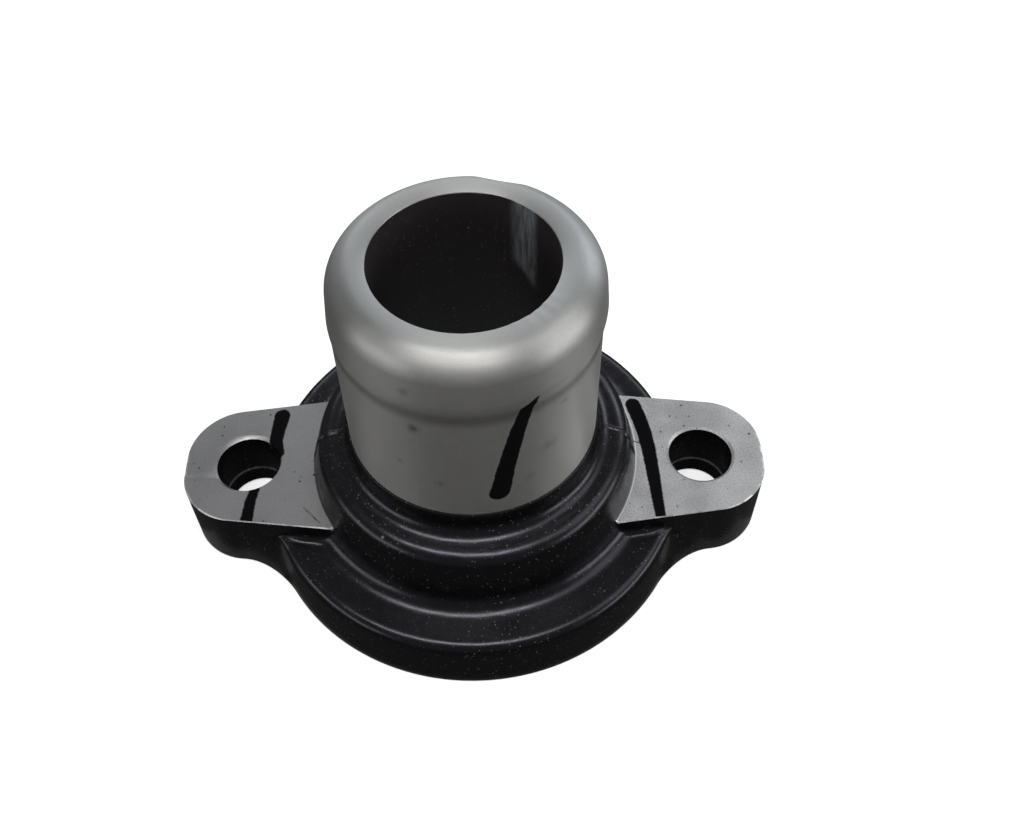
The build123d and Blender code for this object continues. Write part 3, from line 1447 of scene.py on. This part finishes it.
@dataclass
class Housing:
    """The whole visible part: the casting with its holes, dressed."""

    casting: Casting = field(default_factory=Casting)
    holes: BoltHoles = field(default_factory=BoltHoles)
    sharp_angle: float = 33.0

    @staticmethod
    def finishes() -> list[bpy.types.Material]:
        """Builds every finish of the housing.

        Returns:
            The materials, in the order of the slots.
        """
        effects = Effects()
        recipes = {
            Finish.COATING: BlackCoating(),
            Finish.TURNED: TurnedAluminium(),
            Finish.PAD: MilledPad(),
            Finish.FACE: MachinedFace(),
            Finish.EDGE: BareEdge(),
        }
        return [recipes[finish].build(effects) for finish in Finish]

    def build(self) -> bpy.types.Object:
        """Builds the housing and sets it on the frame.

        Returns:
            The piece that stands for the CAD node.
        """
        spots, finishes = self.casting.points()
        piece = grid_object("outlet_casting", spots, finishes, capped=False)
        for material in self.finishes():
            piece.data.materials.append(material)
        self.holes.cut(piece)
        piece.data.shade_smooth()
        piece.data.set_sharp_from_angle(angle=radians(self.sharp_angle))
        self.part_finishes(piece.data)
        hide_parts("housing")
        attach(piece, "root")
        return piece

    @staticmethod
    def part_finishes(mesh: bpy.types.Mesh) -> None:
        """Makes every edge sharp where one finish meets another.

        Args:
            mesh: The mesh, whose edges keep the sharpness that they have.
        """
        edges = np.empty(len(mesh.loops), np.int32)
        finishes, corners = np.empty((2, len(mesh.polygons)), np.int32)
        mesh.loops.foreach_get("edge_index", edges)
        mesh.polygons.foreach_get("material_index", finishes)
        mesh.polygons.foreach_get("loop_total", corners)
        by_loop = np.repeat(finishes, corners)
        least = np.full(len(mesh.edges), len(Finish), np.int32)
        most = np.full(len(mesh.edges), -1, np.int32)
        np.minimum.at(least, edges, by_loop)
        np.maximum.at(most, edges, by_loop)
        sharp = np.empty(len(mesh.edges), bool)
        mesh.edges.foreach_get("use_edge_sharp", sharp)
        mesh.edges.foreach_set("use_edge_sharp", sharp | (least != most))


@dataclass(frozen=True)
class SoftBox:
    """A soft studio light: its place, size, strength, tint and aim, with lengths in metres."""

    name: str
    place: Spot
    size: Pair
    power: float
    tint: Spot = (1.0, 1.0, 1.0)
    aim: Spot = (0.0, 0.0, 0.02)


# Tint of the two key lights
WARM: Spot = (1.0, 0.99, 0.98)


@dataclass(frozen=True)
class Studio:
    """A pale floor, soft lights and the camera."""

    camera_place: Spot = (4.138, -88.696, 133.277)
    camera_turn: Spot = (37.773, 0.449, -1.217)
    lens: float = 39.288
    sensor: float = 36.0
    clip: Pair = (0.005, 10.0)
    world: float = 0.157
    floor_half: float = 1.5
    floor_seen: Colour = (0.9, 0.9, 0.9, 1.0)
    floor_glow: float = 0.55
    floor_unseen: Colour = (0.09, 0.088, 0.082, 1.0)

    # What the part covers: disc, tapered lugs and bolt holes, in metres
    disc_radius: float = 29.3 * MM
    lug_half: float = 19.3 * MM
    lug_taper: float = 0.275
    lug_reach: float = 39.2 * MM
    lug_forward: float = 1.4 * MM
    hole_place: Spot = (30.5 * MM, 0.0, 0.0)
    hole_radius: float = 4.6 * MM

    lights: tuple[SoftBox, ...] = (
        SoftBox("key", (-0.05, -0.137, 0.617), (0.48, 0.115), 1.5, WARM),
        SoftBox("key_right", (0.19, -0.13, 0.605), (0.2, 0.11), 0.1, WARM),
        SoftBox("back", (0.09, 0.537, 0.330), (0.88, 0.2), 0.92, (0.88, 0.94, 1.0), (0.09, 0.0, 0.02)),
        SoftBox("back_right", (0.44, 0.40, 0.27), (0.2, 0.2), 0.22, (0.9, 0.95, 1.0), (0.0, 0.0, 0.03)),
        SoftBox("right_high", (0.399, 0.0, 0.495), (0.4, 0.3), 0.46),
        SoftBox("right_low", (0.581, -0.156, 0.170), (0.5, 0.15), 0.75),
        SoftBox("left_low", (-0.545, -0.254, 0.170), (0.5, 0.15), 0.5),
    )

    def build(self) -> None:
        """Builds the camera, the lights, the world and the floor."""
        scene = bpy.context.scene
        scene.view_settings.view_transform = "Standard"
        data = bpy.data.cameras.new("camera")
        data.lens = self.lens
        data.sensor_width = self.sensor
        data.clip_start, data.clip_end = self.clip
        camera = bpy.data.objects.new("camera", data)
        camera.location = [value * MM for value in self.camera_place]
        camera.rotation_euler = [radians(value) for value in self.camera_turn]
        scene.collection.objects.link(camera)
        scene.camera = camera
        for light in self.lights:
            self.add_light(light)
        self.add_world()
        self.add_floor()

    @staticmethod
    def add_light(light: SoftBox) -> None:
        """Hangs one soft box and points it at its aim.

        Args:
            light: The soft box.
        """
        data = bpy.data.lights.new(light.name, "AREA")
        data.shape = "RECTANGLE"
        data.size, data.size_y = light.size
        data.energy = light.power
        data.color = light.tint
        lamp = bpy.data.objects.new(light.name, data)
        lamp.location = light.place
        direction = Vector(light.aim) - Vector(light.place)
        lamp.rotation_euler = direction.to_track_quat("-Z", "Y").to_euler()
        bpy.context.scene.collection.objects.link(lamp)

    def add_world(self) -> None:
        """Fills the room with dim even light."""
        world = bpy.data.worlds.new("room")
        world.use_nodes = True
        background = world.node_tree.nodes["Background"]
        background.inputs["Color"].default_value = (1.0, 1.0, 1.0, 1.0)
        background.inputs["Strength"].default_value = self.world
        bpy.context.scene.world = world

    def add_floor(self) -> None:
        """Lays the floor.

        It is white to the eye, darker in reflections, and clear from below. Where the part stands it
        is clear to all but the eye, so that the room lights the mounting face.
        """
        half = self.floor_half
        mesh = bpy.data.meshes.new("floor")
        corners = [(-half, -half, 0.0), (half, -half, 0.0), (half, half, 0.0), (-half, half, 0.0)]
        mesh.from_pydata(corners, [], [(0, 1, 2, 3)])
        floor = bpy.data.objects.new("floor", mesh)
        bpy.context.scene.collection.objects.link(floor)
        material = bpy.data.materials.new("floor_paper")
        material.use_nodes = True
        material.node_tree.nodes.clear()
        w = Wiring(material.node_tree)
        pale = w.node("ShaderNodeBsdfDiffuse", {"Color": self.floor_seen}).outputs[0]
        glow = w.node("ShaderNodeEmission", {"Strength": self.floor_glow}).outputs[0]
        dim = w.node("ShaderNodeBsdfDiffuse", {"Color": self.floor_unseen}).outputs[0]
        clear = w.node("ShaderNodeBsdfTransparent").outputs[0]
        seen = w.node("ShaderNodeAddShader", {0: pale, 1: glow}).outputs[0]
        side = w.node("ShaderNodeNewGeometry").outputs
        eye = w.node("ShaderNodeLightPath").outputs["Is Camera Ray"]
        mixes = ((self.covered(w, side["Position"]), clear), (eye, seen), (side["Backfacing"], clear))
        shader = dim
        for share, other in mixes:
            shader = w.node("ShaderNodeMixShader", {0: share, 1: shader, 2: other}).outputs[0]
        w.node("ShaderNodeOutputMaterial", {0: shader})
        mesh.materials.append(material)

    def covered(self, w: Wiring, place: Socket) -> Socket:
        """Masks the floor under the part.

        Args:
            w: Wiring of the floor's material.
            place: Place on the floor.

        Returns:
            A mask, 1 under the disc and the tapered lugs, less the two bolt holes.
        """
        across, along, _ = w.split(place)
        across = w.math("ABSOLUTE", across)
        along = w.math("ABSOLUTE", w.math("ADD", along, self.lug_forward))
        half = w.math("MULTIPLY_ADD", across, self.lug_taper, along)
        near = w.math("LESS_THAN", across, self.lug_reach)
        lugs = w.math("MULTIPLY", w.math("LESS_THAN", half, self.lug_half), near)
        disc = w.math("LESS_THAN", w.axis_distance(place), self.disc_radius)
        from_hole = w.measure("DISTANCE", w.combine(across, along), self.hole_place)
        outside = w.math("GREATER_THAN", from_hole, self.hole_radius)
        return w.math("MULTIPLY", w.math("MAXIMUM", disc, lugs), outside)


def main() -> None:
    """Loads the frame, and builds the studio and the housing."""
    logging.basicConfig(level=logging.INFO, format="%(name)s: %(message)s")
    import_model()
    Studio().build()
    piece = Housing().build()
    mesh = piece.data
    mesh.calc_loop_triangles()
    LOG.info("%s: %d triangles", piece.name, len(mesh.loop_triangles))


if __name__ == "__main__":
    main()
